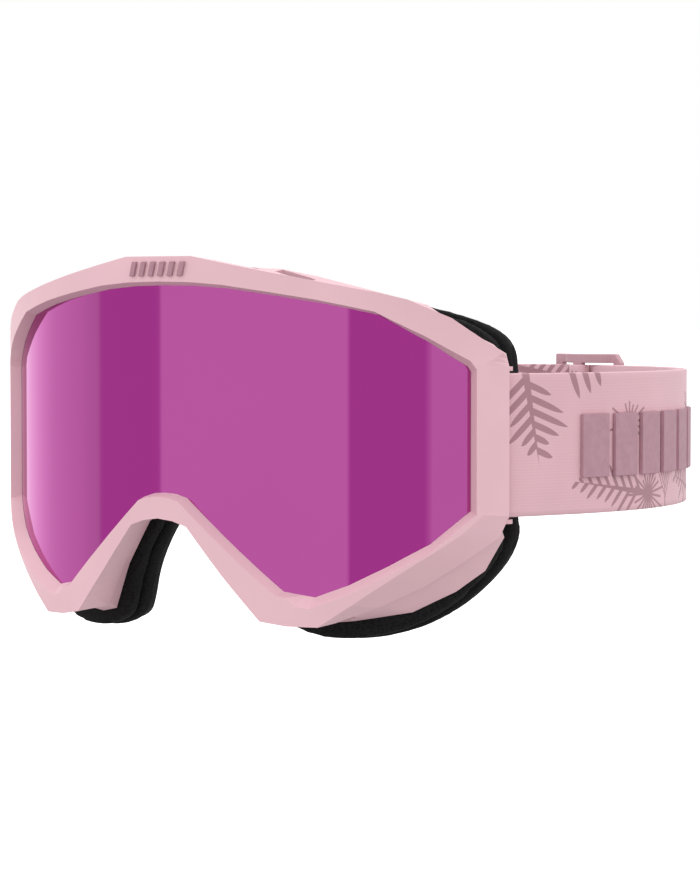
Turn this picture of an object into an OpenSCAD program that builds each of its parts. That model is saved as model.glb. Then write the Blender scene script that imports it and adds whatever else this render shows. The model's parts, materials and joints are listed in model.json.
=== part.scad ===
// Ski goggles: a faceted frame in two mouldings round a cylindrical double lens, three layers of
// face foam, and an elastic strap that is folded round a bar at each side of the frame and held
// at its length by two sliders.
//
// +X is the wearer's left, -Y is forward, +Z is up. The origin is the middle of the face side:
// x and z are on the strap's centre line, and y is where the face foam meets the brow.
// Depths are counted backwards from the front of the lens.

/* [Lens] */
// Radius of the outer lens's curve, seen from above
lens_r = 98.6; // [96:0.2:102]
// Thickness of the outer lens
lens_t = 1.6; // [1.2:0.1:2]
// Width of the air gap between the two lenses
lens_gap = 4.5; // [4:0.25:5]
// Thickness of the inner lens
inner_t = 1; // [0.8:0.1:1.2]
// Half the width of the inner lens
inner_half_w = 67; // [62:0.5:67]
// How far the lens reaches under the bezel
lens_tuck = 1.2; // [1:0.1:1.4]

/* [Frame] */
// Radius of the bezel's front face, seen from above
bezel_r = 101.2; // [100:0.2:104]
// How far the bezel stands in front of the lens
bezel_proud = 4; // [3:0.25:5]
// Width of the slope from the lens up to the bezel's front face, at the sides and the cheeks
bezel_slope_w = 2.8; // [1:0.2:3]
// Width of that slope along the brow and the nose
brow_slope_w = 1; // [0.8:0.1:2]
// Thickness of the frame's walls
wall = 2.4; // [1.8:0.1:2.8]
// Gap between the front and the rear moulding
frame_gap = 0.4; // [0.2:0.1:0.6]
// Thickness of the flange that the foam is glued to
flange_t = 2; // [1.5:0.25:2.5]
// Number of vent windows in the brow
brow_vents = 5; // [3:2:5]

/* [Face foam] */
// Depth from the front of the lens to the face, at the brow
face_depth = 31; // [30:0.5:34]
// Radius of the face side, seen from above
face_r = 113; // [110:1:118]
// Thickness of the base foam
base_t = 5.5; // [4:0.5:6]
// Thickness of the middle foam
middle_t = 5.7; // [4:0.1:6]
// Thickness of the fleece layer that touches the face
fleece_t = 2.5; // [1.5:0.5:3]

/* [Strap] */
// Width of the strap
strap_w = 40; // [38:1:41]
// Thickness of one ply of the strap
strap_t = 1.2; // [1:0.1:1.4]
// Radius of the strap's loop at the middle of its two plies
loop_r = 100; // [98:0.5:102]
// Depth of the loop's centre behind the front of the lens
loop_depth = 105; // [103:0.5:107]
// Distance from the goggles' middle to each strap bar
bar_x = 81.8; // [81:0.1:82.5]
// Radius of the strap bars
bar_r = 1.3; // [1.1:0.1:1.5]
// Gap between plies
ply_gap = 0.3; // [0.2:0.05:0.4]

/* [Slider] */
// Angle of each slider from the middle of the back
slider_angle = 18.5; // [12:0.5:40]
// Width of the slider along the strap
slider_w = 30; // [28:1:32]
// Height of the slider
slider_h = 47.2; // [46:0.2:50]
// Thickness of the slider's bars
slider_t = 2.2; // [1.8:0.1:2.4]

/* [Trim] */
// Height of the raised emblem on the strap
emblem_h = 18; // [12:1:22]
// How far the emblem stands off the strap
emblem_t = 1.2; // [0.8:0.1:1.5]
// Number of blocks in the emblem
emblem_blocks = 7; // [4:1:9]
// Width of the badge on the brow
badge_w = 19; // [12:1:20]
// Number of bars in the badge
badge_bars = 6; // [3:1:8]

/* [Hidden] */

$fn = 128;
pink = [0.89, 0.73, 0.77];
mauve = [0.69, 0.53, 0.59];
tall = 160;
bezel_c = bezel_r - bezel_proud;
foam_t = base_t + middle_t + fleece_t + frame_gap;
face_c = face_depth + face_r;
bar_depth = loop_depth - sqrt(loop_r * loop_r - bar_x * bar_x);
outer_ply_r = loop_r + ply_gap / 2;
inner_ply_r = loop_r - ply_gap / 2 - strap_t;
fold_r = bar_r + ply_gap + strap_t;
fold_angle = 90 + asin((loop_depth - bar_depth) / loop_r);
tilt_r = 20.8;
tilt_gap = 0.3;
spacer_inset = 2;
spacer_w = 3.5;
spacer_play = 0.05;
slider_inside = inner_ply_r - 2.6;
slider_half_angle = 2.6;
tail_angle = 20;
lug_z = strap_w / 2 + 0.7;
lug_h = 1.2;
lug_r = bar_r + 1;
emblem_from = 110.8;
emblem_to = 58;
emblem_z = -0.7;
badge_z = 49;
badge_h = 4;
smooth_steps = 3;
lining_gap = 2 * wall + 0.8;

// Corners of the frame's half, from the middle of the brow round the cheek to the nose bridge:
// [lens edge x, z], [ridge x, z], [front moulding's rear edge x, depth, z],
// [face side's outer edge x, z], [flange's inner edge x, z]
corners = [
  [[0, 44.5], [0, 52.5], [0, 8, 51.6], [0, 49.6], [0, 34]],
  [[10, 44.3], [10.8, 52.5], [10.8, 8.4, 51.6], [12, 49.7], [11, 34]],
  [[20, 43.5], [25, 49.6], [25, 10.5, 48.8], [26, 49.1], [22, 33.8]],
  [[33, 41.5], [37, 47.2], [36.5, 13.5, 46.3], [36, 47], [33, 33]],
  [[44.5, 39.5], [48.5, 44.8], [48, 17.5, 43.8], [48, 43.7], [42, 32]],
  [[52, 37.8], [60, 42.3], [59, 22.5, 41], [57, 41], [48, 31]],
  [[58.3, 36.2], [66, 40.5], [65.5, 27, 39.2], [63.5, 39], [54, 28.5]],
  [[68.7, 28.8], [75, 35.4], [74.5, 34, 33.4], [71, 32.6], [60, 23.5]],
  [[76.4, 22], [84.6, 25.9], [84.3, 43.6, 25.6], [78, 28], [64, 17.5]],
  [[77, 20.6], [81, 22.2], [85.2, 44, 21.8], [77.5, 22.5], [65, 13]],
  [[77, -18], [81, -19], [85.2, 44, -19.6], [77.5, -20.5], [65, -12]],
  [[73.5, -22], [77, -24.3], [82.5, 43.5, -25.5], [80.3, -26], [62.5, -19]],
  [[69, -27], [71.8, -28.9], [75.5, 37, -31.8], [76.3, -35.3], [58, -25.5]],
  [[60, -33], [62.5, -36.3], [66, 30, -39.1], [70, -41], [51, -31]],
  [[51.3, -38], [53.5, -43.4], [56, 22.5, -44.6], [60, -46.7], [44, -35.5]],
  [[43, -41.4], [45.5, -49.4], [46, 15.5, -48.9], [46, -49.2], [38, -36.5]],
  [[35, -39.9], [37.5, -49.2], [38, 15.5, -48.6], [37.5, -50], [34, -35]],
  [[33.5, -38.6], [30.5, -48], [31, 16.5, -47.6], [31.5, -48.8], [31, -31]],
  [[23.1, -29.2], [20, -35.8], [25.5, 17, -35.5], [26, -35.6], [24, -21]],
  [[7.2, -14.6], [9.2, -22.4], [17, 15.4, -22.8], [17.6, -22.8], [12, -5]],
  [[3.5, -13.5], [4.8, -20.9], [8.5, 14, -17.5], [8.8, -17.2], [6, -2]],
  [[0, -13.3], [0, -20.3], [0, 13.6, -16], [0, -15.8], [0, -1.2]]
];

// Outer outline of the face foam's half, from the brow round to the nose bridge
foam_half = [
  [0, 48], [30, 45.5], [48, 40.8], [57, 38.9], [65, 36.8], [73, 33.6], [77.8, 29], [79, 21],
  [78.5, -20], [79.5, -26], [76.5, -35], [68.5, -45], [60, -50.8], [51, -53.6], [44, -54.6],
  [36, -54.2], [28, -51.5], [25.8, -47], [23.5, -36.5], [16.5, -24.5], [8.5, -16], [0, -13.5]
];

function unit(v) = v / norm(v);
function mix(a, b, t) = a * (1 - t) + b * t;
function flip(p) = [for (i = [0:len(p) - 1]) i == 0 ? -p[0] : p[i]];

// A closed outline from its right half, whose two ends lie on the middle plane
function both_sides(half) = concat(half, [for (i = [len(half) - 2:-1:1]) flip(half[i])]);

// Points between the corners of a half outline, so that straight runs can follow a curved face
function finer(half) = concat(
  [for (i = [0:len(half) - 2], k = [0:smooth_steps - 1]) mix(half[i], half[i + 1], k / smooth_steps)],
  [half[len(half) - 1]]
);

// A closed outline with each corner cut, for a softer one
function eased(pts) = [
  for (i = [0:len(pts) - 1], t = [0.25, 0.75]) mix(pts[i], pts[(i + 1) % len(pts)], t)
];

// One column of the corner table as a closed outline
function outline(column) = both_sides(finer([for (c = corners) c[column]]));

// Outline moved outwards by d, with mitred corners
function grow(pts, d) = [
  for (i = [0:len(pts) - 1])
    let (
      n = len(pts),
      a = unit(pts[i] - pts[(i + n - 1) % n]),
      b = unit(pts[(i + 1) % n] - pts[i]),
      m = [-a.y - b.y, a.x + b.x]
    )
    pts[i] + m * (2 * d / (m * m))
];

// Outline narrowed towards the middle plane, for a surface nearer to the lens's centre
function narrow(pts, r) = [for (p = pts) [p.x * r / lens_r, p.y]];

// Depth of the lens's, the bezel's and the face's curve at x
function lens_depth(x, r) = lens_r - sqrt(r * r - x * x);
function bezel_depth(x) = bezel_c - sqrt(bezel_r * bezel_r - x * x);
function face_curve(x) = face_c - sqrt(face_r * face_r - x * x);

// A ring of outline points as points in space
function at_lens(pts, r) = [for (p = pts) [p.x, lens_depth(p.x, r), p.y]];
function at_bezel(pts) = [for (p = pts) [p.x, bezel_depth(p.x), p.y]];
function at_flange(pts, d) = [for (p = pts) [p.x, face_curve(p.x) - foam_t + d, p.y]];
function at_depths(pts, depths, d) = [for (i = [0:len(pts) - 1]) [pts[i].x, depths[i] + d, pts[i].y]];

lens_edge = outline(0);
pane_edge = both_sides([for (i = [0:len(corners) - 1]) if (i != 8) corners[i][0]]);
ridge = outline(1);
rear_edge = outline(2);
rear_xz = [for (p = rear_edge) [p.x, p.z]];
rear_depths = [for (p = rear_edge) p.y];
face_edge = outline(3);
flange_edge = outline(4);
foam_edge = eased(eased(both_sides(foam_half)));

// A ring lofted through closed loops of equal length, joined end to end round its section
module ring(loops) {
  m = len(loops);
  n = len(loops[0]);
  points = [for (loop = loops, p = loop) p];
  faces = [
    for (j = [0:m - 1], i = [0:n - 1], k = [0, 1])
      let (
        a = j * n + i,
        b = j * n + (i + 1) % n,
        c = ((j + 1) % m) * n + (i + 1) % n,
        d = ((j + 1) % m) * n + i
      )
      k == 0 ? [a, c, b] : [a, d, c]
  ];
  polyhedron(points, faces);
}

// Moves a shape from depths behind the lens to the part's own frame
module placed() {
  translate([0, -face_depth, 0]) children();
}

// An outline in x and z, extruded from depth y0 to depth y1
module slab(pts, y0, y1) {
  translate([0, y1, 0]) rotate([90, 0, 0]) linear_extrude(y1 - y0) polygon(pts);
}

// An upright cylinder whose axis is at the given depth
module upright(depth, r) {
  translate([0, depth, -tall / 2]) cylinder(r = r, h = tall);
}

// The part of its children between two surfaces that run with the lens
module lens_layer(r_front, r_back) {
  intersection() {
    children();
    difference() {
      upright(lens_r, r_front);
      upright(lens_r, r_back);
    }
  }
}

module front_frame() {
  side_top = 20.7;
  widens_over = 16;
  cheek_from = 40;
  narrow_lip = grow(lens_edge, brow_slope_w);
  wide_lip = grow(lens_edge, bezel_slope_w);
  lip = [
    for (i = [0:len(lens_edge) - 1])
      let (share = max(0, min(1, 1 - (lens_edge[i].y - side_top) / widens_over)))
      abs(lens_edge[i].x) > cheek_from ? mix(narrow_lip[i], wide_lip[i], share) : narrow_lip[i]
  ];
  pocket = grow(lens_edge, lens_tuck + 0.7);
  back = [
    for (i = [0:len(pocket) - 1])
      min(lens_depth(pocket[i].x, lens_r - lens_t - 0.9), rear_depths[i] - 0.6)
  ];
  color(pink) placed() ring([
    at_lens(lens_edge, lens_r + 0.15),
    at_bezel(lip),
    at_bezel(ridge),
    rear_edge,
    at_depths(grow(rear_xz, -wall), rear_depths, 0),
    at_depths(pocket, back, 0),
    at_lens(pocket, lens_r + 0.15)
  ]);
}

module rear_frame() {
  vent_w = 11;
  vent_d = 4;
  cheek_vent_x = 43;
  color(pink) placed() difference() {
    ring([
      at_depths(grow(rear_xz, -0.8), rear_depths, frame_gap),
      at_flange(face_edge, 0),
      at_flange(mix(face_edge, flange_edge, 0.5), 0),
      at_flange(flange_edge, 0),
      at_flange(flange_edge, -flange_t),
      at_flange(grow(face_edge, -wall), -flange_t),
      at_depths(grow(rear_xz, -0.8 - wall), rear_depths, frame_gap)
    ]);
    for (side = [-1, 1]) {
      translate([side * bar_x, bar_depth, -lug_z]) cylinder(r = fold_r + 0.7, h = 2 * lug_z);
      translate([side * bar_x, bar_depth, -lug_z - lug_h]) cylinder(r = lug_r, h = 2 * (lug_z + lug_h));
    }
    for (k = [0:brow_vents - 1]) {
      x = (k - (brow_vents - 1) / 2) * 1.45 * vent_w;
      y = face_curve(x) - foam_t - flange_t - vent_d;
      translate([x - vent_w / 2, y, 38]) cube([vent_w, vent_d, 20]);
    }
    for (side = [-1, 1]) {
      y = face_curve(cheek_vent_x) - foam_t - flange_t - vent_d;
      translate([side * cheek_vent_x - vent_w / 2, y, -60]) cube([vent_w, vent_d, 20]);
    }
  }
}

module outer_lens() {
  color([0.72, 0.3, 0.62]) placed() lens_layer(lens_r, lens_r - lens_t)
    slab(grow(pane_edge, lens_tuck), -1, 70);
}

// The inner lens's outline, set in by d, as a block that reaches from depth y0 to depth y1
module inner_block(d, y0, y1) {
  back = lens_r - lens_t - lens_gap - inner_t;
  half = inner_half_w - d;
  intersection() {
    slab(narrow(grow(pane_edge, -spacer_inset - d), back), y0, y1);
    translate([-half, y0 - 1, -tall / 2]) cube([2 * half, y1 - y0 + 2, tall]);
  }
}

module lens_spacer() {
  front = lens_r - lens_t - spacer_play;
  back = lens_r - lens_t - lens_gap + spacer_play;
  color([0.12, 0.12, 0.12]) placed() lens_layer(front, back) difference() {
    inner_block(0, -1, 70);
    inner_block(spacer_w, -2, 71);
  }
}

module inner_lens() {
  front = lens_r - lens_t - lens_gap;
  color([0.6, 0.6, 0.64]) placed() lens_layer(front, front - inner_t) inner_block(0, -1, 70);
}

module lens_gasket() {
  front = lens_r - lens_t - 0.1;
  back = front - 1;
  color([0.2, 0.2, 0.2]) placed() lens_layer(front, back) difference() {
    slab(narrow(grow(pane_edge, lens_tuck), back), -1, 70);
    slab(narrow(grow(pane_edge, -0.2), back), -2, 71);
  }
}

// One layer of the face foam, between two depths counted from the flange
module foam_layer(d0, d1, out) {
  placed() intersection() {
    difference() {
      slab(grow(foam_edge, out), 0, 90);
      slab(grow(flange_edge, -out), -1, 91);
    }
    difference() {
      upright(face_c - foam_t + d0, face_r);
      upright(face_c - foam_t + d1, face_r);
    }
  }
}

module face_foam_base() {
  color([0.13, 0.13, 0.14]) foam_layer(frame_gap, frame_gap + base_t, 0);
}

module face_foam_middle() {
  color([0.1, 0.1, 0.11]) foam_layer(frame_gap + base_t, frame_gap + base_t + middle_t, 0.5);
}

module face_fleece() {
  color([0.16, 0.16, 0.17]) foam_layer(frame_gap + base_t + middle_t, foam_t, -0.4);
}

// Height of a lining strip above x, inside the brow or, with way = -1, inside the cheek
function lining(x, way) = way * (lookup(abs(x), [
  for (c = corners)
    if (way * c[3].y > 22 && abs(c[3].x) > (way > 0 ? -1 : 33))
      [c[3].x, min(way * c[3].y, way * c[2].z)]
]) - lining_gap);

// A thin strip that lines the rear frame's vents from x0 to x1
module vent_strip(x0, x1, way) {
  inside = lens_r - lens_t - lens_gap - inner_t - 0.4;
  strip_t = 1.6;
  strip_d = 3;
  steps = 8;
  xs = [for (i = [0:steps]) mix(x0, x1, i / steps)];
  line = [for (x = xs) [x, lining(x, way)]];
  back = [for (i = [steps:-1:0]) line[i] - [0, strip_t * way]];
  placed() intersection() {
    slab(concat(line, back), 0, 70);
    difference() {
      upright(lens_r, inside);
      upright(lens_r, inside - strip_d);
    }
  }
}

module top_vent_foam() {
  color([0.2, 0.2, 0.2]) vent_strip(-40, 40, 1);
}

module bottom_vent_foam(side) {
  color([0.2, 0.2, 0.2]) vent_strip(side * 38, side * 52, -1);
}

module brow_badge() {
  pitch = badge_w / badge_bars;
  color(mauve) placed() intersection() {
    for (k = [0:badge_bars - 1]) {
      x = (k - badge_bars / 2 + 0.15) * pitch;
      slab([
        [x, badge_z - badge_h / 2],
        [x + 0.5 * pitch, badge_z - badge_h / 2],
        [x + 0.8 * pitch, badge_z + badge_h / 2],
        [x + 0.3 * pitch, badge_z + badge_h / 2]
      ], -bezel_proud - 3, 20);
    }
    difference() {
      upright(bezel_c, bezel_r + 0.8);
      upright(bezel_c, bezel_r + 0.08);
    }
  }
}

// The bar that the strap is folded round, with a round foot at each end
module strap_bar(side) {
  color(pink) placed() translate([side * bar_x, bar_depth, -lug_z - lug_h]) {
    cylinder(r = bar_r, h = 2 * (lug_z + lug_h));
    for (z = [0, 2 * lug_z + lug_h]) translate([0, 0, z]) cylinder(r = lug_r, h = lug_h);
  }
}

// A curved ply of the strap, from angle a0 to angle a1 off the middle of the back
module ply(r, t, a0, a1, z0, z1) {
  placed() translate([0, loop_depth, 0]) rotate([0, 0, 90 - a1])
    rotate_extrude(angle = a1 - a0) translate([r, z0]) square([t, z1 - z0]);
}

// The cylinder round the bars' cross axis at which the strap may tilt
module tilt_drum(r) {
  placed() translate([-150, bar_depth, 0]) rotate([0, 90, 0]) cylinder(r = r, h = 300);
}

module strap_end(side) {
  half = strap_w / 2;
  tail_t = 2 * strap_t + ply_gap;
  color(pink) mirror([side > 0 ? 0 : 1, 0, 0]) difference() {
    union() {
      intersection() {
        ply(inner_ply_r, tail_t, fold_angle - tail_angle, fold_angle, -half, half);
        tilt_drum(tilt_r);
      }
      placed() translate([bar_x, bar_depth, -half]) cylinder(r = fold_r, h = strap_w);
    }
    placed() translate([bar_x, bar_depth, -half - 1]) cylinder(r = bar_r + ply_gap, h = strap_w + 2);
  }
}

module strap_band() {
  half = strap_w / 2;
  color(pink) difference() {
    ply(outer_ply_r, strap_t, -fold_angle, fold_angle, -half, half);
    tilt_drum(tilt_r + tilt_gap);
  }
}

module strap_return(side) {
  half = strap_w / 2;
  color(pink) mirror([side > 0 ? 0 : 1, 0, 0]) difference() {
    ply(inner_ply_r, strap_t, slider_angle + slider_half_angle, fold_angle, -half, half);
    tilt_drum(tilt_r + tilt_gap);
  }
}

// A generic mark: a row of plain raised blocks
module emblem(side) {
  pitch = (emblem_from - emblem_to) / emblem_blocks;
  color(mauve) mirror([side > 0 ? 0 : 1, 0, 0]) for (k = [0:emblem_blocks - 1]) {
    a = emblem_to + (k + 0.2) * pitch;
    ply(outer_ply_r + strap_t + 0.02, emblem_t, a, a + 0.8 * pitch,
      emblem_z - emblem_h / 2, emblem_z + emblem_h / 2);
  }
}

// Puts a shape at the slider's place, with x along the strap and y outwards from the loop's centre
module at_slider(side) {
  placed() translate([0, loop_depth, 0]) rotate([0, 0, -side * slider_angle]) children();
}

module slider(side) {
  outside = outer_ply_r + strap_t - 0.3;
  inside = slider_inside;
  bar = 3.5;
  middle_bar = 4;
  half = slider_w / 2;
  rail_h = slider_h / 2 - strap_w / 2 - 0.6;
  dip_from = 9;
  dip_to = 3.8;
  rail_half = [
    [0, inside], [dip_to + 0.8, inside], [dip_from + 1, outside], [half, outside],
    [half, outside + slider_t], [dip_from, outside + slider_t], [dip_to, inside + slider_t],
    [0, inside + slider_t]
  ];
  rail = both_sides(rail_half);
  corner_w = 2.4;
  color(mauve) at_slider(side) difference() {
    union() {
      for (z = [-slider_h / 2, slider_h / 2 - rail_h])
        translate([0, 0, z]) linear_extrude(rail_h) polygon(rail);
      for (x = [-half, half - bar])
        translate([x, outside, -slider_h / 2]) cube([bar, slider_t, slider_h]);
      translate([-middle_bar / 2, inside, -slider_h / 2]) cube([middle_bar, slider_t, slider_h]);
    }
    for (way = [-1, 1]) slab([
      [side * half, way * (slider_h / 2 - rail_h)],
      [side * (half + 1), way * (slider_h / 2 - rail_h)],
      [side * (half + 1), way * (slider_h / 2 + 1)],
      [side * (half - corner_w), way * (slider_h / 2 + 1)],
      [side * (half - corner_w), way * slider_h / 2]
    ], inside - 1, outside + slider_t + 1);
  }
}

// The end of the strap, sewn round the slider's middle bar
module slider_loop(side) {
  bar = 4.2;
  half = strap_w / 2;
  color(pink) at_slider(side) difference() {
    translate([-bar / 2 - strap_t, slider_inside - strap_t - 0.1, -half])
      cube([bar + 2 * strap_t, slider_t + 2 * strap_t + 0.2, strap_w]);
    translate([-bar / 2, slider_inside - 0.1, -half - 1]) cube([bar, slider_t + 0.2, strap_w + 2]);
  }
}

front_frame();
rear_frame();
outer_lens();
lens_spacer();
inner_lens();
lens_gasket();
face_foam_base();
face_foam_middle();
face_fleece();
top_vent_foam();
bottom_vent_foam(1);  // bottom_vent_foam_left
bottom_vent_foam(-1);  // bottom_vent_foam_right
brow_badge();
strap_bar(1);  // strap_bar_left
strap_bar(-1);  // strap_bar_right
strap_end(1);  // strap_end_left
strap_end(-1);  // strap_end_right
strap_band();
strap_return(1);  // strap_return_left
strap_return(-1);  // strap_return_right
emblem(1);  // emblem_left
emblem(-1);  // emblem_right
slider(1);  // slider_left
slider(-1);  // slider_right
slider_loop(1);  // slider_loop_left
slider_loop(-1);  // slider_loop_right
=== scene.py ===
"""Ski goggles: the looks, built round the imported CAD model. Metres, in the CAD's own frame."""

import json
import math

import bmesh
import bpy
import numpy as np
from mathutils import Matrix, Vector


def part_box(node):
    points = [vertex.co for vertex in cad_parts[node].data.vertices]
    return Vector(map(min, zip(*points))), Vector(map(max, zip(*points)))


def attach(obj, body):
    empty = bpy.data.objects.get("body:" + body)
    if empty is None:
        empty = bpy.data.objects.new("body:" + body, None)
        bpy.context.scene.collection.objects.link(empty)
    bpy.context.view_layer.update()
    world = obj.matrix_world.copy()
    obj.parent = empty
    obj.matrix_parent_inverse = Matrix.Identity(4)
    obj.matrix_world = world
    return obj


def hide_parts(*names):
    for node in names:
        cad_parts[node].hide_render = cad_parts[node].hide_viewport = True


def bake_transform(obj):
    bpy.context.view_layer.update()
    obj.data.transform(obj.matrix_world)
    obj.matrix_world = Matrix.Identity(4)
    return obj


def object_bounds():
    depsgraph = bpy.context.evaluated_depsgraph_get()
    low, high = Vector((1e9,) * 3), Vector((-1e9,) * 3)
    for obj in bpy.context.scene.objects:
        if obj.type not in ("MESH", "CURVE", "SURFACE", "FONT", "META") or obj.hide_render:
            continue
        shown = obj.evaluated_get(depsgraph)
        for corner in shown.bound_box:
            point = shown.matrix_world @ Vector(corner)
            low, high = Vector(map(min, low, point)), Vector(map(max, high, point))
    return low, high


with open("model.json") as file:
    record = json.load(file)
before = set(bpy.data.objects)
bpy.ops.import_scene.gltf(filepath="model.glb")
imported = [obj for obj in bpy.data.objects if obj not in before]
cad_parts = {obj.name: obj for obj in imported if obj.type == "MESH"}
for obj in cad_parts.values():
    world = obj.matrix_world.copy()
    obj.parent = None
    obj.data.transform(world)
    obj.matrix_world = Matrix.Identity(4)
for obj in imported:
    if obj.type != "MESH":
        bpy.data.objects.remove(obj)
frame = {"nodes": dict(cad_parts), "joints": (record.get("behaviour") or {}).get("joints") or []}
cad_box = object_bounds()

MM = 0.001
NODES = frame["nodes"]
SIDES = {"left": 1, "right": -1}

# Places that the CAD model gives
lens_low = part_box("outer_lens")[0]
band_low, band_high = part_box("strap_band")
bar_low, bar_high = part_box("strap_bar_left")
loop_low, loop_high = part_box("slider_loop_left")
joints = {joint["name"]: joint for joint in frame["joints"]}
loop_y = joints["slider_left_move"]["pos_m"][1]
bar_y = joints["strap_tilt"]["pos_m"][1]
bar_x = (bar_low.x + bar_high.x) / 2
strap_half = (band_high.z - band_low.z) / 2
outer_r = band_high.y - loop_y

# Sizes that the CAD source names and the frame doesn't give, repeated from it
lens_curve = 98.6 * MM
face_r = 113 * MM
strap_t = 1.2 * MM
ply_gap = 0.3 * MM

middle_r = outer_r - strap_t - ply_gap / 2
fold_r = (bar_high.x - bar_low.x) / 2 + 0.5 * MM

# A lower end for the print's masks that no distance reaches, in millimetres
NO_LOWER = -9.0


# --- Camera -------------------------------------------------------------------------------------

def add_camera():
    """Stands at the wearer's front left and looks past the lens towards the strap."""
    azimuth = math.radians(34)
    distance = 0.862
    height = 0.0359
    turn_right, turn_down = 0.0599, 0.0426
    lens_front = Vector((0, lens_low.y, 0))
    ahead = Vector((-math.sin(azimuth), math.cos(azimuth), 0))
    to_right = Vector((math.cos(azimuth), math.sin(azimuth), 0))
    data = bpy.data.cameras.new("camera")
    data.lens = 124.2
    data.sensor_width = 36
    data.clip_start = 0.01
    camera = bpy.data.objects.new("camera", data)
    camera.location = lens_front - ahead * distance + Vector((0, 0, height))
    look = ahead + to_right * turn_right - Vector((0, 0, turn_down))
    camera.rotation_euler = look.to_track_quat("-Z", "Y").to_euler()
    bpy.context.collection.objects.link(camera)
    bpy.context.scene.camera = camera


add_camera()


# --- Node helpers -------------------------------------------------------------------------------

def srgb(red, green, blue):
    """A colour given in 0..255 as linear values."""
    def linear(value):
        value /= 255
        return value / 12.92 if value <= 0.04045 else ((value + 0.055) / 1.055) ** 2.4
    return (linear(red), linear(green), linear(blue), 1)


class Shade:
    """A material whose nodes are added by short calls. Numbers and colours go on the sockets."""

    def __init__(self, name, colour, roughness, **sockets):
        self.material = bpy.data.materials.new(name)
        self.material.use_nodes = True
        self.tree = self.material.node_tree
        self.main = self.tree.nodes["Principled BSDF"]
        self.main.inputs["Base Color"].default_value = colour
        self.main.inputs["Roughness"].default_value = roughness
        for socket, value in sockets.items():
            self.main.inputs[socket.replace("_", " ")].default_value = value
        self.bump_from = None

    def put(self, socket, value):
        if isinstance(value, bpy.types.NodeSocket):
            self.tree.links.new(value, socket)
        else:
            socket.default_value = value

    def node(self, kind, out, inputs=(), **settings):
        found = self.tree.nodes.new("ShaderNode" + kind)
        for name, value in settings.items():
            setattr(found, name, value)
        for name, value in dict(inputs).items():
            self.put(found.inputs[name], value)
        return found.outputs[out]

    def math(self, operation, *values):
        found = self.tree.nodes.new("ShaderNodeMath")
        found.operation = operation
        for socket, value in zip(found.inputs, values):
            self.put(socket, value)
        return found.outputs[0]

    def place(self):
        return self.node("TexCoord", "Object")

    def noise(self, scale, detail=2, vector=None, **inputs):
        values = {"Scale": scale, "Detail": detail, "Vector": vector or self.place(), **inputs}
        return self.node("TexNoise", "Fac", values)

    def ramp(self, value, low, high, to_low=0.0, to_high=1.0):
        inputs = {"Value": value, "From Min": low, "From Max": high, "To Min": to_low, "To Max": to_high}
        return self.node("MapRange", "Result", inputs)

    def blend(self, factor, first, second):
        found = self.tree.nodes.new("ShaderNodeMix")
        found.data_type = "RGBA"
        for socket, value in ((found.inputs[0], factor), (found.inputs[6], first), (found.inputs[7], second)):
            self.put(socket, value)
        return found.outputs[2]

    def edges(self, radius):
        """1 on convex and concave edges, 0 on open surfaces."""
        rounded = self.node("Bevel", "Normal", {"Radius": radius}, samples=4)
        plain = self.node("NewGeometry", "Normal")
        same = self.node("VectorMath", "Value", {0: rounded, 1: plain}, operation="DOT_PRODUCT")
        return self.ramp(same, 1.0, 0.9)

    def colour(self, value):
        self.put(self.main.inputs["Base Color"], value)

    def rough(self, value):
        self.put(self.main.inputs["Roughness"], value)

    def bump(self, height, distance, strength=1.0):
        inputs = {"Height": height, "Distance": distance, "Strength": strength}
        if self.bump_from:
            inputs["Normal"] = self.bump_from
        self.bump_from = self.node("Bump", "Normal", inputs)
        self.put(self.main.inputs["Normal"], self.bump_from)


def tint(colour, factor):
    return (colour[0] * factor, colour[1] * factor, colour[2] * factor, 1)


# --- Materials ----------------------------------------------------------------------------------

PINK = srgb(229, 187, 195)
MAUVE = srgb(181, 141, 153)
PRINT = srgb(170, 127, 137)


def moulded_plastic(name, colour, roughness=0.48):
    """Matt moulded plastic: fine spark-eroded grain, faint flow marks, edges painted lighter in patches,
    partly as rubbed wear and partly as painted highlight.
    """
    shade = Shade(name, colour, roughness, Specular_IOR_Level=0.35)
    flow = shade.noise(35, 3)
    toned = shade.blend(shade.ramp(flow, 0.35, 0.65), tint(colour, 0.97), tint(colour, 1.02))
    # Edges painted lighter in patches: part rubbed wear, part painted highlight
    wear_and_highlight = shade.math("MULTIPLY", shade.edges(0.5 * MM), shade.ramp(shade.noise(220, 3), 0.42, 0.6, 0, 0.3))
    shade.colour(shade.blend(wear_and_highlight, toned, tint(colour, 1.16)))
    grain = shade.noise(2600, 2)
    shade.rough(shade.ramp(grain, 0.3, 0.7, roughness - 0.05, roughness + 0.07))
    shade.bump(grain, 0.02 * MM, 0.35)
    return shade.material


def mirror_lens():
    """A magenta mirror coat, very slightly uneven, with a few fine wiping marks."""
    colour = srgb(189, 88, 164)
    shade = Shade("mirror_lens", colour, 0.02, Metallic=1.0, Specular_Tint=(1, 0.86, 0.97, 1))
    cloud = shade.noise(14, 2)
    shade.colour(shade.blend(shade.ramp(cloud, 0.3, 0.7), tint(colour, 0.985), tint(colour, 1.015)))
    stretched = shade.node("Mapping", "Vector", {"Vector": shade.place(), "Scale": (90, 90, 1400)})
    wiped = shade.noise(1, 4, vector=stretched)
    shade.rough(shade.ramp(wiped, 0.62, 0.8, 0.015, 0.04))
    return shade.material


def clear_pane():
    colour = (0.78, 0.66, 0.76, 1)
    shade = Shade("clear_lens", colour, 0.03, Transmission_Weight=1.0, IOR=1.49)
    shade.rough(shade.ramp(shade.noise(900, 2), 0.45, 0.7, 0.02, 0.06))
    return shade.material


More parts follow.
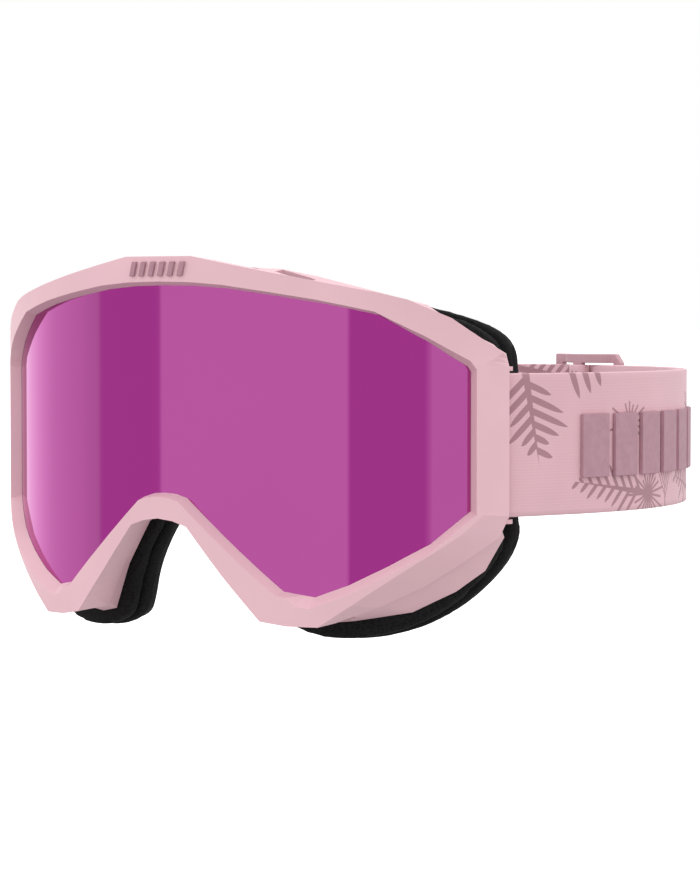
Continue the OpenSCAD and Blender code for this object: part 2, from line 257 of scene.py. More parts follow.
def foam(name, colour, cell, depth):
    """Open-cell foam: small pits of mixed size over a soft uneven surface, painted darker in the pits as
    shade and lighter between them.
    """
    shade = Shade(name, colour, 0.95, Specular_IOR_Level=0.06, Sheen_Weight=0.02, Sheen_Roughness=0.6)
    pits = shade.node("TexVoronoi", "Distance", {"Scale": 1 / cell, "Vector": shade.place()})
    lumps = shade.noise(180, 3)
    # Painted shade: the colour is darker in the pits and lighter on the rims between them
    shade.colour(shade.blend(shade.ramp(pits, 0.1, 0.55), tint(colour, 0.45), tint(colour, 1.25)))
    shade.rough(shade.ramp(lumps, 0.3, 0.7, 0.88, 1.0))
    shade.bump(lumps, 0.15 * MM, 0.5)
    shade.bump(pits, depth, 0.8)
    return shade.material


def fleece():
    """Brushed fleece: short fibres that lie in changing directions, with a soft sheen; the fibres are painted
    lighter where they stand up and darker between them, as light and shade.
    """
    colour = srgb(34, 34, 36)
    shade = Shade("fleece", colour, 1.0, Specular_IOR_Level=0.06, Sheen_Weight=0.12, Sheen_Roughness=0.45)
    drift = shade.noise(70, 2)
    offset = (0.004, 0.004, 0.004)
    shifted = shade.node("VectorMath", "Vector", {0: shade.place(), 1: offset}, operation="ADD")
    fibres = shade.noise(1500, 4, vector=shifted, Distortion=1.6)
    # Painted light and shade: the colour follows the fibres' bump, lighter on their tops and darker between
    # them
    shade.colour(shade.blend(shade.ramp(fibres, 0.32, 0.7), tint(colour, 0.5), tint(colour, 1.5)))
    shade.rough(shade.ramp(drift, 0.3, 0.7, 0.9, 1.0))
    shade.bump(drift, 0.5 * MM, 0.3)
    shade.bump(fibres, 0.22 * MM, 0.7)
    return shade.material


def soft_rubber(name, colour, roughness=0.62):
    """Matt rubber with a fine grain, painted darker along its edges and flanks."""
    shade = Shade(name, colour, roughness, Specular_IOR_Level=0.3)
    flank = shade.edges(0.45 * MM)
    mottled = shade.blend(shade.ramp(shade.noise(400, 3), 0.35, 0.65), tint(colour, 0.95), tint(colour, 1.04))
    shade.colour(shade.blend(shade.math("MULTIPLY", flank, 0.35), mottled, tint(colour, 0.6)))
    grain = shade.noise(3200, 2)
    shade.rough(shade.ramp(grain, 0.3, 0.7, roughness - 0.06, roughness + 0.08))
    shade.bump(grain, 0.015 * MM, 0.4)
    return shade.material


# --- The strap's print --------------------------------------------------------------------------

# The length of the print's repeat, and where one starts off the middle of the back, in millimetres
REPEAT = 224.0
REPEAT_FROM = 108.0


def local(shade, along, across, start, tilt):
    """Coordinates in millimetres from start = (along, across), turned by tilt degrees."""
    cos, sin = math.cos(math.radians(tilt)), math.sin(math.radians(tilt))
    u = shade.math("SUBTRACT", along, start[0])
    v = shade.math("SUBTRACT", across, start[1])
    t = shade.math("ADD", shade.math("MULTIPLY", u, cos), shade.math("MULTIPLY", v, sin))
    a = shade.math("SUBTRACT", shade.math("MULTIPLY", v, cos), shade.math("MULTIPLY", u, sin))
    return t, a


def within(shade, value, low, high, soft=0.12):
    """1 between low and high, with soft ends. low and high may be numbers or sockets."""
    up = shade.math("MULTIPLY", shade.math("SUBTRACT", value, low), 1 / soft)
    down = shade.math("MULTIPLY", shade.math("SUBTRACT", high, value), 1 / soft)
    return shade.math("MAXIMUM", shade.math("MINIMUM", shade.math("MINIMUM", up, down), 1.0), 0.0)


def sprig(shade, along, across, start, tilt, length, reach, pitch, lean, stem, needle, seed):
    """A stem with needles on both sides that sweep towards its tip, shorter and thinner at the ends."""
    t, a = local(shade, along, across, start, tilt)
    side = shade.math("SIGN", a)
    off = shade.math("ABSOLUTE", a)
    swept = shade.math("SUBTRACT", t, shade.math("MULTIPLY", off, lean))
    count = shade.math("ADD", shade.math("MULTIPLY", swept, 1 / pitch), shade.math("MULTIPLY", side, 0.23))
    index = shade.math("FLOOR", count)
    share = shade.math("SUBTRACT", count, index)
    key = shade.math("ADD", shade.math("ADD", index, seed), shade.math("MULTIPLY", side, 37.5))
    chance = shade.node("TexWhiteNoise", "Value", {"W": key}, noise_dimensions="1D")
    root = shade.math("MULTIPLY", index, pitch / length)
    bulge = shade.math("SQRT", shade.math("MAXIMUM", shade.math("SUBTRACT", 1.05, root), 0.0))
    uneven = shade.math("MULTIPLY_ADD", chance, 0.55, 0.5)
    tip = shade.math("MULTIPLY", uneven, shade.math("MULTIPLY", bulge, reach))
    along_needle = shade.math("DIVIDE", off, shade.math("MAXIMUM", tip, 0.01))
    width = shade.math("MULTIPLY_ADD", shade.math("POWER", along_needle, 5.0), -needle, needle)
    middle = shade.math("ABSOLUTE", shade.math("SUBTRACT", share, 0.5))
    needles = within(shade, shade.math("MULTIPLY", middle, pitch), NO_LOWER, width)
    on_stem = within(shade, root, 0.0, 1.0, 0.01)
    needles = shade.math("MULTIPLY", needles, on_stem)
    stem_end = length + reach * 0.45
    thin = shade.math("MULTIPLY_ADD", shade.math("DIVIDE", t, stem_end), -stem, stem)
    beside = within(shade, off, NO_LOWER, thin)
    spine = shade.math("MULTIPLY", beside, within(shade, t, 0.0, stem_end))
    return shade.math("MAXIMUM", needles, spine)


def burst(shade, along, across, centre, reach, spokes, width, seed):
    """Thin strands of mixed length round one point."""
    u, v = local(shade, along, across, centre, 0)
    angle = shade.math("MULTIPLY", shade.math("ADD", shade.math("ARCTAN2", v, u), math.pi), spokes / math.tau)
    index = shade.math("FLOOR", angle)
    off = shade.math("ABSOLUTE", shade.math("SUBTRACT", shade.math("SUBTRACT", angle, index), 0.5))
    far = shade.math("SQRT", shade.math("ADD", shade.math("MULTIPLY", u, u), shade.math("MULTIPLY", v, v)))
    key = shade.math("ADD", index, seed)
    chance = shade.node("TexWhiteNoise", "Value", {"W": key}, noise_dimensions="1D")
    tip = shade.math("MULTIPLY_ADD", chance, reach * 0.6, reach * 0.45)
    aside = shade.math("MULTIPLY", off, shade.math("MULTIPLY", far, math.tau / spokes))
    thin = within(shade, aside, NO_LOWER, width)
    strands = shade.math("MULTIPLY", thin, within(shade, far, NO_LOWER, tip))
    eye = 1.3
    return shade.math("MAXIMUM", strands, within(shade, far, NO_LOWER, eye))


def strap_web():
    """Woven elastic: fine warp ribs, a weft, a selvedge at each side, and the printed sprigs, with painted
    shade in the weave's grooves.
    """
    pink = srgb(222, 179, 188)
    shade = Shade("strap_web", pink, 0.8, Specular_IOR_Level=0.2, Sheen_Weight=0.25, Sheen_Roughness=0.5)
    uv = shade.node("UVMap", "UV", uv_map="web")
    parts = shade.tree.nodes.new("ShaderNodeSeparateXYZ")
    shade.put(parts.inputs[0], uv)
    length, width = parts.outputs[0], parts.outputs[1]
    along = shade.math("FLOORED_MODULO", shade.math("SUBTRACT", length, REPEAT_FROM), REPEAT)
    designs = [
        sprig(shade, along, width, (107.5, 23.5), -101, 24, 16, 3.8, 0.6, 1.5, 1.15, 3),
        sprig(shade, along, width, (97, 22), 178, 19, 15, 4.8, 0.35, 0.5, 1.2, 11),
        sprig(shade, along, width, (55, -15.5), 8, 31, 10, 3.8, 0.75, 1.1, 0.85, 23),
        sprig(shade, along, width, (43, -21), 86, 9, 8, 2.6, 1.7, 0.5, 0.6, 47),
        sprig(shade, along, width, (12, -16), 12, 22, 8, 3.3, 0.7, 0.9, 0.8, 53),
        sprig(shade, along, width, (120, 18.5), -8, 34, 12, 3.6, 0.7, 1.2, 1.0, 61),
        sprig(shade, along, width, (170, 12), 14, 30, 12, 3.8, 0.6, 1.2, 1.0, 67),
        sprig(shade, along, width, (150, -20), 74, 26, 12, 3.8, 0.7, 1.3, 1.0, 71),
        sprig(shade, along, width, (205, -22), 97, 24, 12, 3.7, 0.7, 1.2, 1.0, 83),
        burst(shade, along, width, (55, -15.5), 11, 21, 0.42, 5),
        burst(shade, along, width, (65.5, 5), 10, 18, 0.42, 9),
        burst(shade, along, width, (14, 8), 9, 17, 0.42, 15),
        burst(shade, along, width, (134, -8), 11, 21, 0.42, 19),
        burst(shade, along, width, (182, -6), 12, 22, 0.42, 27),
        burst(shade, along, width, (214, 15), 8, 17, 0.42, 33),
    ]
    mask = designs[0]
    for design in designs[1:]:
        mask = shade.math("MAXIMUM", mask, design)
    warp = shade.math("SINE", shade.math("MULTIPLY", width, math.tau / 0.85))
    weft = shade.math("SINE", shade.math("MULTIPLY", length, math.tau / 0.6))
    weave = shade.math("ADD", warp, shade.math("MULTIPLY", weft, 0.5))
    selvedge = shade.ramp(shade.math("ABSOLUTE", width), 18.7, 19.0)
    fading = shade.ramp(shade.noise(60, 3), 0.3, 0.7)
    ground = shade.blend(fading, tint(pink, 0.97), tint(pink, 1.02))
    ground = shade.blend(shade.math("MULTIPLY", selvedge, 0.25), ground, tint(pink, 0.85))
    printed = shade.blend(fading, tint(PRINT, 0.96), tint(PRINT, 1.04))
    both = shade.blend(mask, ground, printed)
    # Painted shade: the weave's grooves are coloured darker
    groove_shade = shade.ramp(weave, -1.5, -0.2, 0.05, 0.0)
    shade.colour(shade.blend(groove_shade, both, (0.25, 0.13, 0.15, 1)))
    shade.rough(shade.ramp(mask, 0, 1, 0.84, 0.66))
    shade.bump(weave, 0.025 * MM, 0.4)
    shade.bump(shade.noise(2400, 3), 0.03 * MM, 0.4)
    return shade.material


def thread():
    colour = srgb(176, 136, 147)
    shade = Shade("thread", colour, 0.7, Sheen_Weight=0.3)
    twist = shade.node("TexWave", "Fac", {"Scale": 900, "Distortion": 1.5, "Vector": shade.place()})
    # Painted shade: the colour is darker in the twist's grooves and lighter on its ridges
    shade.colour(shade.blend(twist, tint(colour, 0.8), tint(colour, 1.1)))
    shade.bump(twist, 0.05 * MM, 0.6)
    return shade.material


SHADES = {
    "frame_plastic": moulded_plastic("frame_plastic", PINK),
    # The frame's own pink made 6% darker: painted shade for the rear moulding and the strap bars
    "frame_plastic_shaded": moulded_plastic("frame_plastic_shaded", tint(PINK, 0.94)),
    "slider_plastic": moulded_plastic("slider_plastic", srgb(196, 156, 165), 0.42),
    "badge": soft_rubber("badge", srgb(176, 134, 146), 0.55),
    "emblem_rubber": soft_rubber("emblem_rubber", MAUVE),
    "mirror_lens": mirror_lens(),
    "clear_lens": clear_pane(),
    "gasket": soft_rubber("gasket", srgb(34, 34, 35), 0.7),
    "lens_foam": foam("lens_foam", srgb(34, 34, 35), 0.4 * MM, 0.1 * MM),
    "base_foam": foam("base_foam", srgb(27, 27, 28), 0.75 * MM, 0.25 * MM),
    "middle_foam": foam("middle_foam", srgb(24, 24, 25), 0.55 * MM, 0.2 * MM),
    "vent_foam": foam("vent_foam", srgb(46, 46, 47), 0.9 * MM, 0.5 * MM),
    "fleece": fleece(),
    "strap_web": strap_web(),
    "thread": thread(),
}


# --- Mesh helpers -------------------------------------------------------------------------------

def add_object(name, mesh):
    piece = bpy.data.objects.new(name, mesh)
    bpy.context.collection.objects.link(piece)
    return piece


def wear(piece, shade):
    piece.data.materials.clear()
    piece.data.materials.append(SHADES[shade])


def node_copy(node, name, flat=None):
    """A copy of a CAD node's mesh with its vertices welded and, below flat degrees, its facets joined."""
    mesh = NODES[node].data.copy()
    mesh.name = name
    if "custom_normal" in mesh.attributes:
        mesh.attributes.remove(mesh.attributes["custom_normal"])
    work = bmesh.new()
    work.from_mesh(mesh)
    bmesh.ops.remove_doubles(work, verts=work.verts, dist=0.003 * MM)
    if flat:
        bmesh.ops.dissolve_limit(work, angle_limit=math.radians(flat), verts=work.verts, edges=work.edges)
    work.to_mesh(mesh)
    work.free()
    return add_object(name, mesh)


def apply_modifiers(piece):
    """Turns the piece's modifiers into mesh."""
    graph = bpy.context.evaluated_depsgraph_get()
    mesh = bpy.data.meshes.new_from_object(piece.evaluated_get(graph))
    piece.modifiers.clear()
    piece.data = mesh
    mesh.name = piece.name


def round_edges(piece, width, angle=20, segments=3):
    """Rounds the piece's edges as a mould does, and keeps its broad faces flat."""
    bevel = piece.modifiers.new("rounding", "BEVEL")
    bevel.width = width
    bevel.segments = segments
    bevel.limit_method = "ANGLE"
    bevel.angle_limit = math.radians(angle)
    piece.data.shade_smooth()
    normals = piece.modifiers.new("normals", "WEIGHTED_NORMAL")
    normals.keep_sharp = True


def build_front_frame():
    """The front moulding: its edges rounded, except the fine lip that lies on the lens."""
    piece = node_copy("front_frame", "frame_front")
    work = bmesh.new()
    work.from_mesh(piece.data)
    share = work.edges.layers.float.new("bevel_weight_edge")

    def on_lens(vertex):
        reach = math.hypot(vertex.co.x, vertex.co.y - lens_low.y - lens_curve)
        return abs(reach - lens_curve) < 0.2 * MM

    lip = {vertex for vertex in work.verts if on_lens(vertex)}
    for vertex in lip:
        away = Vector((vertex.co.x, vertex.co.y - lens_low.y - lens_curve, 0))
        vertex.co -= away.normalized() * (away.length - lens_curve - 0.05 * MM)
    for edge in work.edges:
        if len(edge.link_faces) == 2 and edge.calc_face_angle() > math.radians(13):
            fine = edge.verts[0] in lip and edge.verts[1] in lip
            edge[share] = 0.12 if fine else 1.0
    work.to_mesh(piece.data)
    work.free()
    round_edges(piece, 0.5 * MM)
    piece.modifiers["rounding"].limit_method = "WEIGHT"
    apply_modifiers(piece)
    wear(piece, "frame_plastic")
    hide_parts("front_frame")
    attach(piece, "frame")


def moulding(node, name, shade, body, width, angle=20, flat=1.0, segments=3):
    """A CAD node with its edges rounded, in place of the plain one."""
    piece = node_copy(node, name, flat)
    round_edges(piece, width, angle, segments)
    apply_modifiers(piece)
    wear(piece, shade)
    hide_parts(node)
    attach(piece, body)


def coordinates(mesh):
    found = np.empty(len(mesh.vertices) * 3)
    mesh.vertices.foreach_get("co", found)
    return found.reshape(-1, 3)


def set_coordinates(mesh, points):
    mesh.vertices.foreach_set("co", np.asarray(points, float).ravel())
    mesh.update()


# --- Frame and lenses ---------------------------------------------------------------------------

def build_frame():
    build_front_frame()
    # The rear moulding and the strap bars wear the frame's pink with painted shade
    moulding("rear_frame", "frame_rear", "frame_plastic_shaded", "frame", 0.4 * MM, 25, None)
    for side in SIDES:
        node = f"strap_bar_{side}"
        moulding(node, f"bar_{side}", "frame_plastic_shaded", "frame", 0.25 * MM, 50, None)
    moulding("brow_badge", "badge_bars", "badge", "frame", 0.12 * MM, 30)


def lens_pane(node, name, shade, rim):
    """A pane with finely rounded rims and exact cylinder normals, so that what it mirrors has no facets."""
    piece = node_copy(node, name, 0.05)
    round_edges(piece, rim, 50, 2)
    apply_modifiers(piece)
    mesh = piece.data
    axis_y = lens_low.y + lens_curve
    normals = []
    for polygon in mesh.polygons:
        flat = Vector(polygon.normal)
        for vertex in polygon.vertices:
            point = mesh.vertices[vertex].co
            radial = Vector((point.x, point.y - axis_y, 0)).normalized()
            lean = flat.dot(radial)
            normals.append(radial if lean > 0.995 else -radial if lean < -0.995 else flat)
    mesh.normals_split_custom_set(normals)
    wear(piece, shade)
    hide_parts(node)
    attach(piece, "frame")


def build_lenses():
    lens_pane("outer_lens", "lens_outer", "mirror_lens", 0.15 * MM)
    lens_pane("inner_lens", "lens_inner", "clear_lens", 0.1 * MM)
    moulding("lens_gasket", "gasket", "gasket", "frame", 0.12 * MM, 50, 0.05, 2)
    moulding("lens_spacer", "spacer", "lens_foam", "frame", 0.3 * MM, 50, 0.05, 2)
    moulding("top_vent_foam", "vent_foam_top", "vent_foam", "frame", 0.2 * MM, 50, 0.5, 2)
    for side in SIDES:
        node = f"bottom_vent_foam_{side}"
        moulding(node, f"vent_foam_{side}", "vent_foam", "frame", 0.2 * MM, 50, 0.5, 2)


# --- Face foam ----------------------------------------------------------------------------------

def layer_depth(points):
    """How far back each point lies, measured from one surface that runs with the face side."""
    return points[:, 1] + np.sqrt(face_r ** 2 - points[:, 0] ** 2)


def foam_layer(node, name, shade, voxel, swell):
    """A foam layer, swollen by a cloth simulation between its glued faces."""
    piece = node_copy(node, name)
    remesh = piece.modifiers.new("remesh", "REMESH")
    remesh.mode = "VOXEL"
    remesh.voxel_size = voxel
    soften = piece.modifiers.new("soften", "SMOOTH")
    soften.factor = 0.5
    soften.iterations = 3
    apply_modifiers(piece)
    depths = layer_depth(coordinates(NODES[node].data))
    front, back = depths.min() + 0.03 * MM, depths.max() - 0.03 * MM
    start = coordinates(piece.data)
    cloth = piece.modifiers.new("swell", "CLOTH")
    cloth.settings.quality = 4
    cloth.settings.mass = 0.1
    cloth.settings.tension_stiffness = 12
    cloth.settings.compression_stiffness = 12
    cloth.settings.bending_stiffness = 0.4
    cloth.settings.use_pressure = True
    cloth.settings.uniform_pressure_force = 4
    cloth.settings.effector_weights.gravity = 0
    for number in range(1, 15):
        bpy.context.scene.frame_set(number)
    graph = bpy.context.evaluated_depsgraph_get()
    moved = coordinates(piece.evaluated_get(graph).data)
    piece.modifiers.clear()
    bpy.context.scene.frame_set(1)
    step = moved - start
    size = np.linalg.norm(step, axis=1, keepdims=True)
    step *= np.minimum(1, swell / np.maximum(size, 1e-9))
    start = start + step
    depths = layer_depth(start)
    start[:, 1] += np.clip(depths, front, back) - depths
    set_coordinates(piece.data, start)
    smooth = piece.modifiers.new("fine", "SUBSURF")
    smooth.levels = smooth.render_levels = 1
    apply_modifiers(piece)
    piece.data.shade_smooth()
    wear(piece, shade)
    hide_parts(node)
    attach(piece, "frame")


def build_foam():
    foam_layer("face_foam_base", "foam_base", "base_foam", 1.2 * MM, 0.6 * MM)
    foam_layer("face_foam_middle", "foam_middle", "middle_foam", 1.2 * MM, 0.8 * MM)
    piece = node_copy("face_fleece", "fleece", 0.3)
    round_edges(piece, 0.9 * MM, 50, 4)
    apply_modifiers(piece)
    wear(piece, "fleece")
    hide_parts("face_fleece")
    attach(piece, "frame")


# --- Strap --------------------------------------------------------------------------------------

def cross_section():
    """The strap's section as (across, out) pairs: flat faces, a bead at each selvedge, round edges."""
    columns = 28
    points = []
    for k in range(columns + 1):
        z = -strap_half + 0.35 * MM + (2 * strap_half - 0.7 * MM) * k / columns
        bead = 0.06 * MM if abs(z) > strap_half - 1.3 * MM else 0
        points.append((z, strap_t / 2 + bead - 0.06 * MM))
    edge, third = strap_half - 0.08 * MM, strap_t * 0.33
    rounded = [(edge, third), (strap_half, 0), (edge, -third)]
    back = [(z, -out) for z, out in reversed(points)]
    return points + rounded + back + [(-z, -out) for z, out in rounded]


def web(name, path, lengths):
    """A strip of webbing along path, a list of (point, outward) pairs in plan; lengths go into its UV map."""
    section = cross_section()
    mesh = bpy.data.meshes.new(name)
    work = bmesh.new()
    layer = work.loops.layers.uv.new("web")
    rows = []
    for point, out in path:
        row = []
        for across, lift in section:
            row.append(work.verts.new((point[0] + out[0] * lift, point[1] + out[1] * lift, across)))
        rows.append(row)
    count = len(section)

    def face(corners, marks):
        made = work.faces.new(corners)
        made.smooth = True
        for loop, mark in zip(made.loops, marks):
            loop[layer].uv = (mark / MM, loop.vert.co.z / MM)

    for k in range(len(rows) - 1):
        for i in range(count):
            j = (i + 1) % count
            corners = (rows[k][i], rows[k][j], rows[k + 1][j], rows[k + 1][i])
            face(corners, (lengths[k], lengths[k], lengths[k + 1], lengths[k + 1]))
    face(tuple(reversed(rows[0])), [lengths[0]] * count)
    face(tuple(rows[-1]), [lengths[-1]] * count)
    bmesh.ops.recalc_face_normals(work, faces=work.faces)
    work.to_mesh(mesh)
    work.free()
    piece = add_object(name, mesh)
    wear(piece, "strap_web")
    return piece


def loop_point(radius, degrees):
    """A point of the strap's loop in plan, at an angle off the middle of the back, towards +X."""
    angle = math.radians(degrees)
    out = (math.sin(angle), math.cos(angle))
    return (radius * out[0], loop_y + radius * out[1]), out


# The plies' radii, and angles off the middle of the back in degrees: the slider's, the bar's, the one where
# the inner ply leaves the strap's web, one step's, and how far from the bar the plies open
loop_centre = (loop_low + loop_high) / 2
slider_angle = math.degrees(math.atan2(loop_centre.x, loop_centre.y - loop_y))
ply_r = middle_r + ply_gap / 2 + strap_t / 2
inner_r = middle_r - ply_gap / 2 - strap_t / 2
bar_angle = math.degrees(math.atan2(bar_x, bar_y - loop_y))
tail_angle = bar_angle - 19
step_angle = 0.9
open_angle = 10.0


def fold_path():
    """From the outer ply round the left bar to the inner ply: half a turn about the bar, in plan."""
    steps = 12
    path = []
    wide = fold_r - strap_t / 2
    for k in range(steps + 1):
        share = k / steps
        angle = math.radians(bar_angle) + math.pi * share
        out = (math.sin(angle), math.cos(angle))
        path.append(((bar_x + wide * out[0], bar_y + wide * out[1]), out))
    return path


def eased_ply(radius, angle, side_out):
    """A point of a ply near the bar, where the plies open to pass on both sides of it."""
    point, out = loop_point(radius, angle)
    near = max(0.0, 1 - (bar_angle - angle) / open_angle)
    smooth = near * near * (3 - 2 * near)
    spread = (fold_r - strap_t / 2) - (radius - middle_r) * side_out
    lift = side_out * spread * smooth
    return (point[0] + out[0] * lift, point[1] + out[1] * lift), out


def half_strap(side):
    """The left or right half of the strap's route, from the middle of the back to the inner ply's tail."""
    count = round(bar_angle / step_angle)
    path = [eased_ply(ply_r, bar_angle * k / count, 1) for k in range(count + 1)]
    path += fold_path()[1:-1]
    steps = 14
    for k in range(steps + 1):
        angle = bar_angle + (tail_angle - bar_angle) * k / steps
        point, out = eased_ply(inner_r, angle, -1)
        path.append((point, (-out[0], -out[1])))
    if side < 0:
        path = [((-p[0], p[1]), (-o[0], o[1])) for p, o in path]
    return path


def lengths_of(path):
    total = [0.0]
    for (p, _), (q, _) in zip(path, path[1:]):
        total.append(total[-1] + math.dist(p, q))
    return total


def build_strap():
    left, right = half_strap(1), half_strap(-1)
    marks = lengths_of(left)
    path = list(reversed(right))[:-1] + left
    lengths = [-mark for mark in reversed(marks)][:-1] + marks
    strap = web("strap", path, lengths)
    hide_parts("strap_band", "strap_end_left", "strap_end_right")
    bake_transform(strap)
    tail = marks[-1]
    for side, sign in SIDES.items():
        last = slider_angle + 2.4
        steps = round((tail_angle - last) / step_angle)
        angles = [tail_angle + (last - tail_angle) * k / steps for k in range(steps + 1)]
        path = []
        for angle in angles:
            (x, y), out = loop_point(inner_r, angle)
            path.append(((sign * x, y), (-sign * out[0], -out[1])))
        marks = [sign * (tail + mark) for mark in lengths_of(path)]
        piece = web(f"return_{side}", path, marks)
        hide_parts(f"strap_return_{side}")
        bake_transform(piece)


def stitch(work, centre, out):
    """One upright stitch: a fine thread that dips into the cloth at both ends."""
    rings, around = 7, 8
    thick, reach = 0.2 * MM, 1.15 * MM
    across = out.cross(Vector((0, 0, 1))).normalized()
    rows = []
    for k in range(rings):
        share = 2 * k / (rings - 1) - 1
        lift = 0.1 * MM - 0.28 * MM * share ** 4
        spine = centre + Vector((0, 0, share * reach)) + out * lift
        slim = thick * (1 - 0.35 * share ** 4)
        turns = [math.tau * i / around for i in range(around)]
        ring = [work.verts.new(spine + (across * math.cos(t) + out * math.sin(t)) * slim) for t in turns]
        rows.append(ring)
    for first, second in zip(rows, rows[1:]):
        for i in range(around):
            j = (i + 1) % around
            work.faces.new((first[i], first[j], second[j], second[i])).smooth = True
    work.faces.new(tuple(reversed(rows[0])))
    work.faces.new(tuple(rows[-1]))
    bmesh.ops.recalc_face_normals(work, faces=work.faces)


def sewn_loop(side, sign):
    """The strap's end, turned round the slider's middle bar and sewn down."""
    angle = math.radians(slider_angle)
    along = Vector((math.cos(angle), -math.sin(angle)))
    outward = Vector((math.sin(angle), math.cos(angle)))
    centre = Vector((loop_centre.x, loop_centre.y))
    half = Vector((2.7 * MM, 1.8 * MM))
    corner = 1.3 * MM
    steps = 32
    ring = []
    for k in range(steps):
        turn = math.tau * (k + 0.5) / steps
        way = Vector((math.cos(turn), math.sin(turn)))
        ring.append((Vector([math.copysign(half[i] - corner, way[i]) for i in (0, 1)]) + way * corner, way))
    ring.append(ring[0])
    path = []
    for spot, way in ring:
        point = centre + along * spot.x + outward * spot.y
        out = along * way.x + outward * way.y
        path.append(((sign * point.x, point.y), (sign * out.x, out.y)))
    marks = [sign * (REPEAT_FROM + mark / MM) * MM for mark in lengths_of(path)]
    piece = web(f"sewn_loop_{side}", path, marks)
    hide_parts(f"slider_loop_{side}")
    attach(piece, f"slider_{side}")
    stitches = bmesh.new()
    surface = half.y + strap_t / 2
    row_offset = 0.9 * MM
    in_row = 13
    pitch_mm = 2.85
    for row in (-row_offset, row_offset):
        for k in range(in_row):
            z = (k - in_row // 2) * pitch_mm * MM
            spot = centre + along * row - outward * surface
            stitch(stitches, Vector((sign * spot.x, spot.y, z)), Vector((-sign * outward.x, -outward.y, 0)))
    mesh = bpy.data.meshes.new(f"stitches_{side}")
    stitches.to_mesh(mesh)
    stitches.free()
    seam = add_object(f"stitches_{side}", mesh)
    wear(seam, "thread")
    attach(seam, f"slider_{side}")


def build_trim():
    for side, sign in SIDES.items():
        sewn_loop(side, sign)
        slider, emblem = f"slider_{side}", f"emblem_{side}"
        moulding(slider, f"triglide_{side}", "slider_plastic", slider, 0.45 * MM, 35)
        moulding(emblem, f"emblem_blocks_{side}", "emblem_rubber", "strap", 0.2 * MM, 50)


build_frame()
build_lenses()
build_foam()
build_strap()
build_trim()


# --- Studio -------------------------------------------------------------------------------------

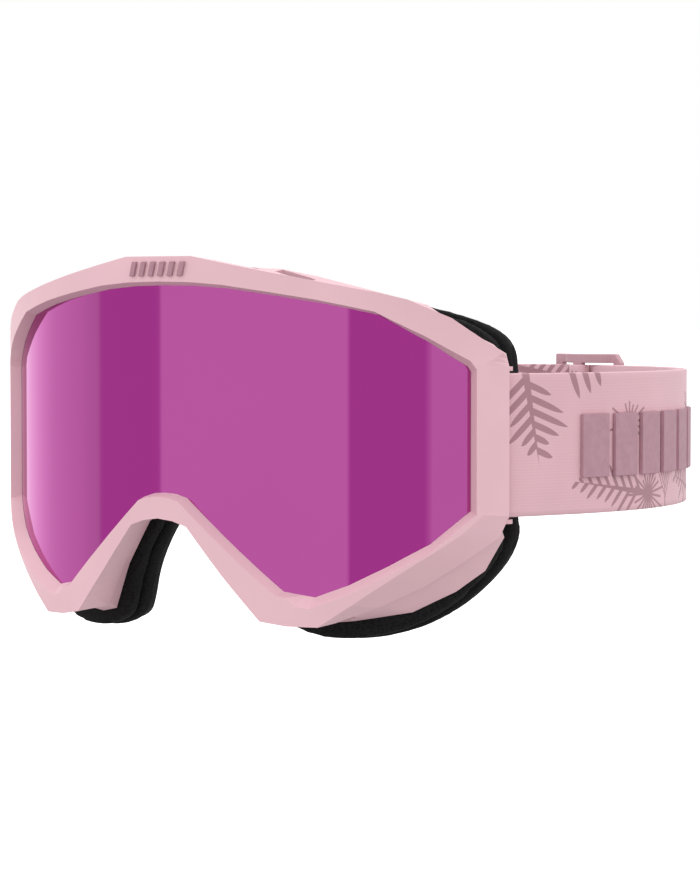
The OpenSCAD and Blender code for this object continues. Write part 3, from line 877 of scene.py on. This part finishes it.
def build_world():
    """The camera sees plain white, shiny things mirror upright panels, and matt ones take a soft fill."""
    world = bpy.data.worlds.new("studio")
    bpy.context.scene.world = world
    world.use_nodes = True
    tree = world.node_tree
    tree.nodes.clear()

    def node(kind, **settings):
        found = tree.nodes.new("ShaderNode" + kind)
        for name, value in settings.items():
            setattr(found, name, value)
        return found

    place = node("TexCoord")
    parts = node("SeparateXYZ")
    tree.links.new(place.outputs["Generated"], parts.inputs[0])
    back = node("Math", operation="MULTIPLY")
    tree.links.new(parts.outputs[1], back.inputs[0])
    back.inputs[1].default_value = -1
    turn = node("Math", operation="ARCTAN2")
    tree.links.new(parts.outputs[0], turn.inputs[0])
    tree.links.new(back.outputs[0], turn.inputs[1])
    share = node("MapRange")
    share.inputs["From Min"].default_value = -math.pi
    share.inputs["From Max"].default_value = math.pi
    tree.links.new(turn.outputs[0], share.inputs["Value"])
    dim = (0.72, 0.37, 0.69, 1)
    # Each panel's edge as (degrees round the studio, brightness or colour)
    panels = [
        (-180, 1.0), (-135, 1.45), (-110, 1.36), (-92, 1.08), (-76, 0.98), (-63.6, 0.8),
        (-63.2, dim), (-36.6, dim), (-36.2, 1.0), (31.5, 1.0), (31.9, dim), (58.9, dim),
        (59.3, 0.95), (90, 0.95), (180, 1.0),
    ]
    bands = node("ValToRGB")
    stops = bands.color_ramp.elements
    while len(stops) < len(panels):
        stops.new(0.5)
    for stop, (angle, level) in zip(stops, panels):
        stop.position = (angle + 180) / 360
        stop.color = level if isinstance(level, tuple) else (level, level, level, 1)
    tree.links.new(share.outputs[0], bands.inputs[0])
    heights = node("ValToRGB")
    levels = [(-1, 0.5), (-0.5, 0.55), (-0.22, 0.95), (0.3, 1.0), (1, 1.12)]
    stops = heights.color_ramp.elements
    while len(stops) < len(levels):
        stops.new(0.5)
    for stop, (height, level) in zip(stops, levels):
        stop.position = (height + 1) / 2
        stop.color = (level, level, level, 1)
    rise = node("MapRange")
    rise.inputs["From Min"].default_value = -1
    tree.links.new(parts.outputs[2], rise.inputs["Value"])
    tree.links.new(rise.outputs[0], heights.inputs[0])
    both = node("Mix", data_type="RGBA", blend_type="MULTIPLY")
    both.inputs[0].default_value = 1
    tree.links.new(bands.outputs[0], both.inputs[6])
    tree.links.new(heights.outputs[0], both.inputs[7])
    studio, plain, soft = node("Background"), node("Background"), node("Background")
    tree.links.new(both.outputs[2], studio.inputs["Color"])
    studio.inputs["Strength"].default_value = 0.96
    plain.inputs["Color"].default_value = (1, 1, 1, 1)
    fill = node("ValToRGB")
    for stop, level in zip(fill.color_ramp.elements, (0.56, 1.0)):
        stop.color = (level, level, level, 1)
    fill.color_ramp.elements[0].position = 0.15
    fill.color_ramp.elements[1].position = 0.6
    tree.links.new(rise.outputs[0], fill.inputs[0])
    tree.links.new(fill.outputs[0], soft.inputs["Color"])
    soft.inputs["Strength"].default_value = 1.15
    path, out = node("LightPath"), node("OutputWorld")
    shown, mirrored = node("MixShader"), node("MixShader")
    tree.links.new(path.outputs["Is Diffuse Ray"], mirrored.inputs[0])
    tree.links.new(studio.outputs[0], mirrored.inputs[1])
    tree.links.new(soft.outputs[0], mirrored.inputs[2])
    tree.links.new(path.outputs["Is Camera Ray"], shown.inputs[0])
    tree.links.new(mirrored.outputs[0], shown.inputs[1])
    tree.links.new(plain.outputs[0], shown.inputs[2])
    tree.links.new(shown.outputs[0], out.inputs[0])


def add_light(name, place, size, watts):
    """A soft square lamp that looks at the goggles and doesn't show in the lens."""
    data = bpy.data.lights.new(name, "AREA")
    data.size = size
    data.energy = watts
    lamp = bpy.data.objects.new(name, data)
    lamp.location = place
    lamp.rotation_euler = (-Vector(place)).to_track_quat("-Z", "Y").to_euler()
    lamp.visible_glossy = False
    bpy.context.collection.objects.link(lamp)


def add_floor():
    """A plain pale floor, well below the goggles, as they hang free."""
    half = 60.0
    mesh = bpy.data.meshes.new("floor")
    height = Vector(cad_box[0]).z - 0.25
    corners = [(-half, -half, height), (half, -half, height), (half, half, height), (-half, half, height)]
    mesh.from_pydata(corners, [], [(0, 1, 2, 3)])
    floor = add_object("floor", mesh)
    shade = Shade("floor", (0.93, 0.93, 0.93, 1), 0.9, Emission_Color=(1, 1, 1, 1), Emission_Strength=0.6)
    floor.data.materials.append(shade.material)
    floor.visible_diffuse = False
    floor.visible_glossy = False


build_world()
add_light("key", (-1.3, -1.1, 0.7), 1.2, 3.5)
add_light("top", (0.2, 0.3, 1.8), 1.6, 10)
add_floor()
bpy.context.scene.view_settings.view_transform = "Standard"
